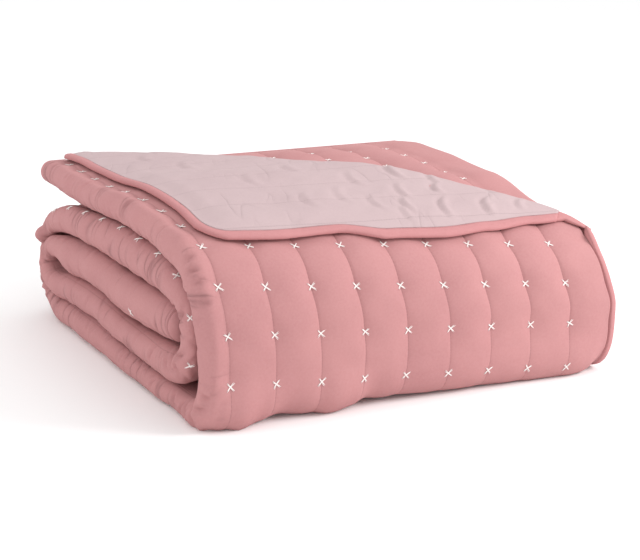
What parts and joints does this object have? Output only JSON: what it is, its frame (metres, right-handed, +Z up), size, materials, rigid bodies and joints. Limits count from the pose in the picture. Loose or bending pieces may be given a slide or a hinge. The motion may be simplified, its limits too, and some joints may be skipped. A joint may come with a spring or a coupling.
{
  "type": "folded quilted coverlet",
  "caption": "Padded bed coverlet folded in three and rolled flat, with channel quilting, bound edges and one corner turned over to show its pale reverse.",
  "frame": {"origin": "middle of the footprint, on the surface that the folded coverlet rests on", "axes": "+Z up, +X across the folded width towards the open bound side edge, +Y from the round front wrap to the back"},
  "size_m": [0.4956, 0.4799, 0.2023],
  "materials": {
    "quilted_cotton": "soft plain-woven cotton over padding, dusty rose, with white cross stitches",
    "pale_reverse": "soft plain-woven cotton, pale pink",
    "binding_tape": "folded cotton tape, rose, a little brighter than the face"
  },
  "bodies": {
    "root": {"quilted_body": "quilted_cotton", "reverse_corner": "pale_reverse", "binding_corner": "binding_tape", "binding_side": "binding_tape", "binding_back": "binding_tape", "binding_inner": "binding_tape"}
  },
  "joints": []
}
